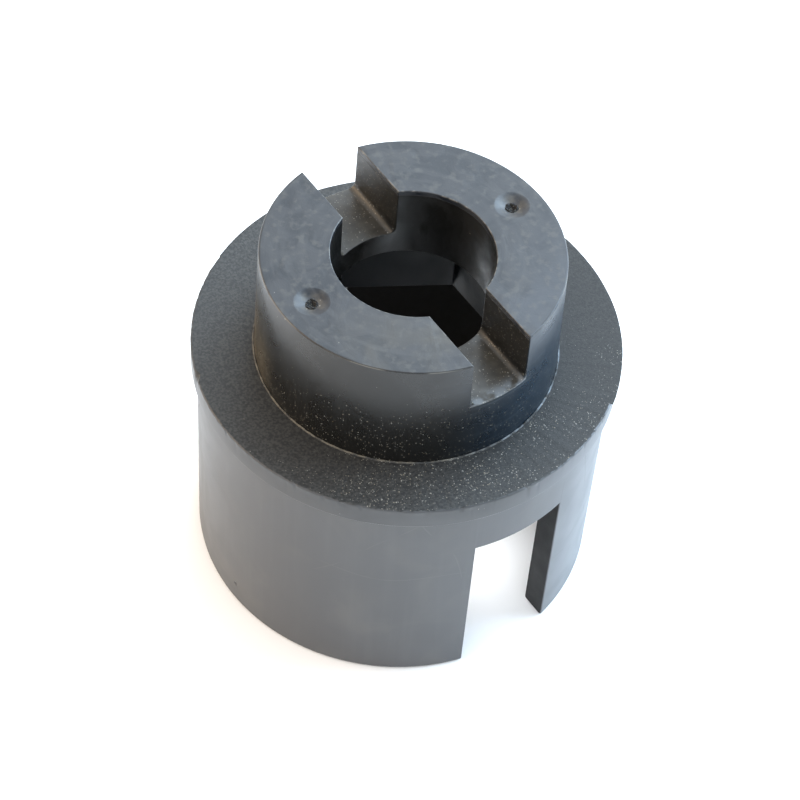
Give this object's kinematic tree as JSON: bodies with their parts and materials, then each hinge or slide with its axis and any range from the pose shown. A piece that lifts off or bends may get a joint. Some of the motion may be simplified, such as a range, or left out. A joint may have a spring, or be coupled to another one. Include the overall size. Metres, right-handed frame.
{
  "type": "jaw coupling",
  "caption": "Flanged jaw coupling sleeve: slotted jaw hub with a round bore and hexagonal socket over an open drum with two drive slots.",
  "frame": {"origin": "on the coupling's axis, in the plane of the drum's open end", "axes": "+Z along the axis from the drum to the jaws; the drive slot and both drum slots run along Y; the jaws lie on either side along X"},
  "size_m": [0.06, 0.06, 0.0575],
  "materials": {
    "hub_plastic": "satin moulded black, dusty in the corners",
    "flange_plastic": "matte moulded black, speckled with dust",
    "drum_plastic": "satin moulded black with faint scratches"
  },
  "bodies": {
    "root": {"jaw_hub": "hub_plastic", "flange_collar": "flange_plastic", "slotted_drum": "drum_plastic"}
  },
  "joints": []
}
